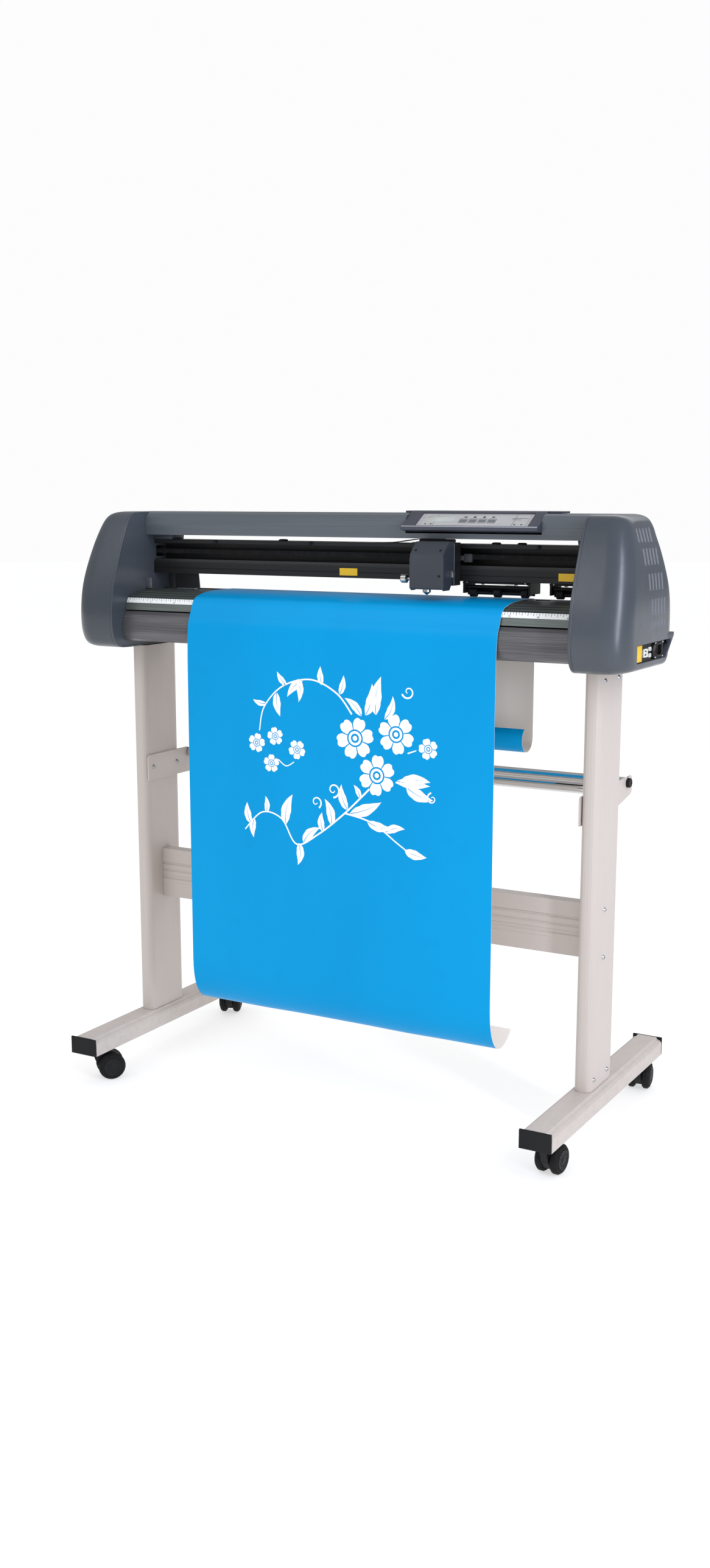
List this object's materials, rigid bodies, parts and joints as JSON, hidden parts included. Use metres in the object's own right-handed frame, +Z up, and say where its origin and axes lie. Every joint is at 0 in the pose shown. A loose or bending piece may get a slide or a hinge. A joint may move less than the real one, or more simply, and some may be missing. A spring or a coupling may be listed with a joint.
{
  "type": "vinyl cutter",
  "caption": "Roll-fed vinyl cutter: moulded end covers, rail with a sliding knife carriage and pinch rollers over a grooved platen, on a castered stand with a hanging vinyl sheet.",
  "frame": {"origin": "on the floor under the middle of the machine", "axes": "+X along the machine to the control panel end, +Y to the back, +Z up"},
  "size_m": [1.0561, 0.525, 1.0393],
  "materials": {
    "beige_paint": "satin powder coat",
    "black_plastic": "satin moulded",
    "rubber": "matt",
    "cap_plastic": "satin moulded",
    "beam_paint": "satin",
    "black_anodised": "black anodised",
    "overlay_film": "satin film",
    "key_plastic": "satin",
    "platen_alloy": "grey anodised",
    "apron_alloy": "satin",
    "tape_white": "satin film",
    "chrome": "polished",
    "steel": "ground",
    "tool_alloy": "satin",
    "circuit_board": "solder mask",
    "vinyl_film": "satin film"
  },
  "bodies": {
    "frame": {"left_foot": "beige_paint", "right_foot": "beige_paint", "left_leg": "beige_paint", "right_leg": "beige_paint", "crossbar": "beige_paint", "left_roll_bracket": "beige_paint", "right_roll_bracket": "beige_paint", "foot_cap_front_left": "black_plastic", "foot_cap_front_right": "black_plastic", "foot_cap_rear_left": "black_plastic", "foot_cap_rear_right": "black_plastic", "connector_plate": "black_plastic", "power_inlet": "black_plastic", "drive_belt": "rubber", "left_end_cap": "cap_plastic", "right_end_cap": "cap_plastic", "left_side_plate": "cap_plastic", "right_side_plate": "cap_plastic", "panel_bezel": "cap_plastic", "top_beam": "beam_paint", "guide_rail": "black_anodised", "base_channel": "black_anodised", "feed_motor": "black_anodised", "carriage_motor": "black_anodised", "panel_overlay": "overlay_film", "platen": "platen_alloy", "front_apron": "apron_alloy", "ruler_tape": "tape_white", "power_supply": "tool_alloy", "main_board": "circuit_board", "vinyl_sheet": "vinyl_film"},
    "front_roller": {"front_roller_bar": "chrome"},
    "rear_roller": {"rear_roller_bar": "chrome"},
    "grit": {"grit_shaft": "steel"},
    "idler": {"idler_pulley": "steel"},
    "drive": {"drive_pulley": "steel"},
    "carriage": {"carriage_plate": "black_anodised", "carriage_cover": "cap_plastic"},
    "tool": {"tool_slide": "tool_alloy", "blade_holder": "steel"},
    "knob": {"clamp_knob": "chrome"},
    "switch": {"power_switch": "black_plastic"},
    "holder_middle": {"pinch_holder_middle": "black_plastic"},
    "arm_middle": {"pinch_arm_middle": "black_plastic"},
    "pinch_middle": {"pinch_wheels_middle": "rubber"},
    "holder_right": {"pinch_holder_right": "black_plastic"},
    "arm_right": {"pinch_arm_right": "black_plastic"},
    "pinch_right": {"pinch_wheels_right": "rubber"},
    "key_1": {"panel_key_1": "key_plastic"},
    "key_2": {"panel_key_2": "key_plastic"},
    "key_3": {"panel_key_3": "key_plastic"},
    "key_4": {"panel_key_4": "key_plastic"},
    "fork_front_left": {"caster_fork_front_left": "black_plastic"},
    "wheels_front_left": {"caster_wheels_front_left": "rubber"},
    "fork_front_right": {"caster_fork_front_right": "black_plastic"},
    "wheels_front_right": {"caster_wheels_front_right": "rubber"},
    "fork_rear_left": {"caster_fork_rear_left": "black_plastic"},
    "wheels_rear_left": {"caster_wheels_rear_left": "rubber"},
    "fork_rear_right": {"caster_fork_rear_right": "black_plastic"},
    "wheels_rear_right": {"caster_wheels_rear_right": "rubber"}
  },
  "joints": [
    {"name": "front_roller_spin", "type": "hinge", "parent": "frame", "child": "front_roller", "pos_m": [0, 0.062, 0.578], "axis": [1, 0, 0], "continuous": true},
    {"name": "rear_roller_spin", "type": "hinge", "parent": "frame", "child": "rear_roller", "pos_m": [0, 0.15, 0.578], "axis": [1, 0, 0], "continuous": true},
    {"name": "grit_shaft_spin", "type": "hinge", "parent": "frame", "child": "grit", "pos_m": [0, -0.008, 0.8856], "axis": [1, 0, 0], "continuous": true},
    {"name": "carriage_slide", "type": "slide", "parent": "frame", "child": "carriage", "axis": [1, 0, 0], "range_m": [-0.53, 0.235]},
    {"name": "drive_pulley_spin", "type": "hinge", "parent": "frame", "child": "drive", "pos_m": [0.47, -0.002, 0.964], "axis": [0, 0, 1], "continuous": true},
    {"name": "idler_pulley_spin", "type": "hinge", "parent": "frame", "child": "idler", "pos_m": [-0.47, -0.002, 0.964], "axis": [0, 0, 1], "continuous": true},
    {"name": "tool_lift", "type": "slide", "parent": "carriage", "child": "tool", "axis": [0, 0, 1], "range_m": [-0.007, 0], "stiffness_N_per_m": 250, "springref_m": 0.02},
    {"name": "clamp_knob_turn", "type": "hinge", "parent": "tool", "child": "knob", "pos_m": [0.11, -0.07, 0.929], "axis": [1, 0, 0], "range_deg": [0, 360]},
    {"name": "pinch_holder_slide_middle", "type": "slide", "parent": "frame", "child": "holder_middle", "axis": [1, 0, 0], "range_m": [-0.55, 0.015]},
    {"name": "pinch_arm_lift_middle", "type": "hinge", "parent": "holder_middle", "child": "arm_middle", "pos_m": [0.2555, 0.014, 0.913], "axis": [-1, 0, 0], "range_deg": [0, 6], "stiffness_Nm_per_rad": 0.6, "springref_deg": -17.19},
    {"name": "pinch_wheels_spin_middle", "type": "hinge", "parent": "arm_middle", "child": "pinch_middle", "pos_m": [0.2555, -0.008, 0.9055], "axis": [1, 0, 0], "continuous": true},
    {"name": "pinch_holder_slide_right", "type": "slide", "parent": "frame", "child": "holder_right", "axis": [1, 0, 0], "range_m": [-0.015, 0.03]},
    {"name": "pinch_arm_lift_right", "type": "hinge", "parent": "holder_right", "child": "arm_right", "pos_m": [0.376, 0.014, 0.913], "axis": [-1, 0, 0], "range_deg": [0, 6], "stiffness_Nm_per_rad": 0.6, "springref_deg": -17.19},
    {"name": "pinch_wheels_spin_right", "type": "hinge", "parent": "arm_right", "child": "pinch_right", "pos_m": [0.376, -0.008, 0.9055], "axis": [1, 0, 0], "continuous": true},
    {"name": "panel_key_press_1", "type": "slide", "parent": "frame", "child": "key_1", "axis": [0, 0.5145, -0.8575], "range_m": [0, 0.0008], "stiffness_N_per_m": 300, "springref_m": -0.0005},
    {"name": "panel_key_press_2", "type": "slide", "parent": "frame", "child": "key_2", "axis": [0, 0.5145, -0.8575], "range_m": [0, 0.0008], "stiffness_N_per_m": 300, "springref_m": -0.0005},
    {"name": "panel_key_press_3", "type": "slide", "parent": "frame", "child": "key_3", "axis": [0, 0.5145, -0.8575], "range_m": [0, 0.0008], "stiffness_N_per_m": 300, "springref_m": -0.0005},
    {"name": "panel_key_press_4", "type": "slide", "parent": "frame", "child": "key_4", "axis": [0, 0.5145, -0.8575], "range_m": [0, 0.0008], "stiffness_N_per_m": 300, "springref_m": -0.0005},
    {"name": "power_switch_rock", "type": "hinge", "parent": "frame", "child": "switch", "pos_m": [0.5207, -0.016, 0.8235], "axis": [0, 1, 0], "range_deg": [-8, 8]},
    {"name": "caster_swivel_front_left", "type": "hinge", "parent": "frame", "child": "fork_front_left", "pos_m": [-0.446, -0.214, 0.0587], "axis": [0, 0, 1], "continuous": true},
    {"name": "caster_roll_front_left", "type": "hinge", "parent": "fork_front_left", "child": "wheels_front_left", "pos_m": [-0.43329, -0.19988, 0.025], "axis": [0.7431, -0.6691, 0], "continuous": true},
    {"name": "caster_swivel_front_right", "type": "hinge", "parent": "frame", "child": "fork_front_right", "pos_m": [0.446, -0.214, 0.0587], "axis": [0, 0, 1], "continuous": true},
    {"name": "caster_roll_front_right", "type": "hinge", "parent": "fork_front_right", "child": "wheels_front_right", "pos_m": [0.44799, -0.1951, 0.025], "axis": [0.9945, -0.1045, 0], "continuous": true},
    {"name": "caster_swivel_rear_left", "type": "hinge", "parent": "frame", "child": "fork_rear_left", "pos_m": [-0.446, 0.214, 0.0587], "axis": [0, 0, 1], "continuous": true},
    {"name": "caster_roll_rear_left", "type": "hinge", "parent": "fork_rear_left", "child": "wheels_rear_left", "pos_m": [-0.45373, 0.23136, 0.025], "axis": [0.9135, 0.4067, 0], "continuous": true},
    {"name": "caster_swivel_rear_right", "type": "hinge", "parent": "frame", "child": "fork_rear_right", "pos_m": [0.446, 0.214, 0.0587], "axis": [0, 0, 1], "continuous": true},
    {"name": "caster_roll_rear_right", "type": "hinge", "parent": "fork_rear_right", "child": "wheels_rear_right", "pos_m": [0.44336, 0.23281, 0.025], "axis": [0.9903, 0.1392, 0], "continuous": true}
  ],
  "couplings": [
    {"joint": "drive_pulley_spin", "follows": "carriage_slide", "rad_per_m": 125},
    {"joint": "idler_pulley_spin", "follows": "carriage_slide", "rad_per_m": 125},
    {"joint": "pinch_wheels_spin_middle", "follows": "grit_shaft_spin", "ratio": -1.5714},
    {"joint": "pinch_wheels_spin_right", "follows": "grit_shaft_spin", "ratio": -1.5714}
  ]
}
